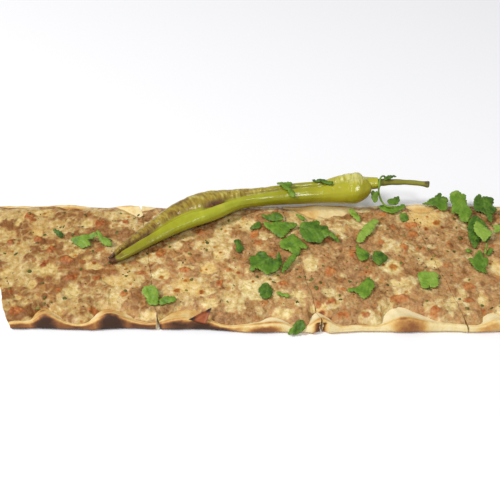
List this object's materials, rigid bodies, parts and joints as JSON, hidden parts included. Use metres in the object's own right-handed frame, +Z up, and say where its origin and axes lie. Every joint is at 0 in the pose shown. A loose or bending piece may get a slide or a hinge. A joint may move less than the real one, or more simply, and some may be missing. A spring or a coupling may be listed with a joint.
{
  "type": "turkish meat flatbread",
  "caption": "Long thin flatbread with a layer of minced meat, melted cheese and tomato, sliced crosswise but kept whole, with a grilled long pepper and parsley leaves on top.",
  "frame": {"origin": "bottom centre of the whole, on the surface that the bread lies on", "axes": "+X along the bread from its cut end to its rounded end, +Y across it to the edge that the pepper lies on, +Z up"},
  "size_m": [0.424, 0.1304, 0.0296],
  "materials": {
    "dough": "pale baked dough, browned and charred on the raised rim",
    "topping": "oily minced meat with smooth melted cheese and tomato",
    "pepper_skin": "glossy grilled green skin, wrinkled and charred along a crease",
    "pepper_stem": "dull ribbed green stem",
    "parsley": "fresh thin leaf with fine veins",
    "burnt_skin": "burnt tomato skin, black along its edges"
  },
  "bodies": {
    "root": {"bread_1": "dough", "topping_1": "topping", "bread_2": "dough", "topping_2": "topping", "bread_3": "dough", "topping_3": "topping", "bread_4": "dough", "topping_4": "topping", "pepper": "pepper_skin", "pepper_stem": "pepper_stem", "burnt_flake": "burnt_skin", "parsley_01": "parsley", "parsley_02": "parsley", "parsley_03": "parsley", "parsley_04": "parsley", "parsley_05": "parsley", "parsley_06": "parsley", "parsley_07": "parsley", "parsley_08": "parsley", "parsley_09": "parsley", "parsley_10": "parsley", "parsley_11": "parsley", "parsley_12": "parsley", "parsley_13": "parsley", "parsley_14": "parsley", "parsley_15": "parsley", "parsley_16": "parsley", "parsley_17": "parsley", "parsley_18": "parsley", "parsley_19": "parsley", "parsley_20": "parsley", "parsley_21": "parsley", "parsley_22": "parsley", "parsley_23": "parsley", "parsley_24": "parsley", "parsley_25": "parsley", "parsley_26": "parsley", "parsley_27": "parsley", "parsley_28": "parsley", "parsley_29": "parsley", "parsley_30": "parsley", "parsley_31": "parsley", "parsley_32": "parsley", "parsley_33": "parsley", "parsley_34": "parsley", "parsley_35": "parsley", "parsley_36": "parsley", "parsley_37": "parsley", "parsley_38": "parsley", "parsley_39": "parsley", "parsley_stalk_1": "parsley", "parsley_stalk_2": "parsley"}
  },
  "joints": []
}
